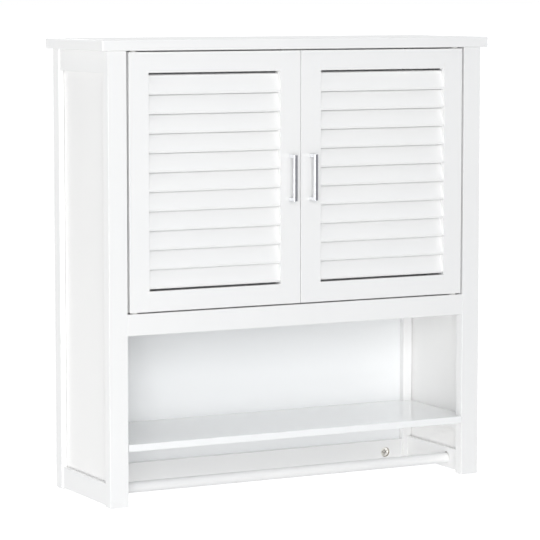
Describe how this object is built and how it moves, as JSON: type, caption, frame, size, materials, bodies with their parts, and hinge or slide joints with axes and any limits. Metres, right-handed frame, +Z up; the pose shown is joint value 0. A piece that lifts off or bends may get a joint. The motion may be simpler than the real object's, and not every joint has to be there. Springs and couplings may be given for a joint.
{
  "type": "louvred wall cabinet",
  "caption": "Wall-hung cabinet with louvred doors on pivot pins over an open bay with a shelf and a round towel rail.",
  "frame": {"origin": "midpoint between the two wall screw holes, on the wall plane at the cabinet's back", "axes": "+X to the right seen from the front, +Y into the wall, so the doors look along -Y, +Z up"},
  "size_m": [0.62, 0.212, 0.65],
  "materials": {
    "white_paint": "satin white lacquer on fibreboard",
    "panel_paint": "smooth white lacquer on thin fibreboard",
    "white_plastic": "moulded, matt",
    "chrome": "polished",
    "nickel": "die-cast, nickel plated",
    "steel": "zinc plated",
    "beech": "raw beech"
  },
  "bodies": {
    "carcass": {"apron_rail": "white_paint", "back_panel": "panel_paint", "cam_bolts": "steel", "cam_locks": "nickel", "carcass_dowels": "beech", "cupboard_floor": "white_paint", "hanging_rail": "white_paint", "inner_shelf": "white_paint", "left_floor_cleat": "white_paint", "left_front_post": "white_paint", "left_inner_shelf_cleat": "white_paint", "left_lower_side_rail": "white_paint", "left_open_shelf_cleat": "white_paint", "left_rear_post": "white_paint", "left_side_panel": "panel_paint", "left_upper_side_rail": "white_paint", "lower_rear_rail": "white_paint", "magnetic_catch": "white_plastic", "open_shelf": "white_paint", "pivot_bushes": "white_plastic", "right_floor_cleat": "white_paint", "right_front_post": "white_paint", "right_inner_shelf_cleat": "white_paint", "right_lower_side_rail": "white_paint", "right_open_shelf_cleat": "white_paint", "right_rear_post": "white_paint", "right_side_panel": "panel_paint", "right_upper_side_rail": "white_paint", "top_board": "white_paint", "towel_rail": "white_paint"},
    "left_door": {"left_door_bottom_rail": "white_paint", "left_door_dowels": "beech", "left_door_hinge_stile": "white_paint", "left_door_meeting_stile": "white_paint", "left_door_slats": "white_paint", "left_door_top_rail": "white_paint", "left_handle": "chrome", "left_handle_screws": "steel", "left_pivot_pins": "steel", "left_strike_plate": "steel"},
    "right_door": {"right_door_bottom_rail": "white_paint", "right_door_dowels": "beech", "right_door_hinge_stile": "white_paint", "right_door_meeting_stile": "white_paint", "right_door_slats": "white_paint", "right_door_top_rail": "white_paint", "right_handle": "chrome", "right_handle_screws": "steel", "right_pivot_pins": "steel", "right_strike_plate": "steel"}
  },
  "joints": [
    {"name": "left_door_hinge", "type": "hinge", "parent": "carcass", "child": "left_door", "pos_m": [-0.259, -0.187, -0.1682], "axis": [0, 0, -1], "range_deg": [0, 110]},
    {"name": "right_door_hinge", "type": "hinge", "parent": "carcass", "child": "right_door", "pos_m": [0.259, -0.187, -0.1682], "axis": [0, 0, 1], "range_deg": [0, 110]}
  ]
}
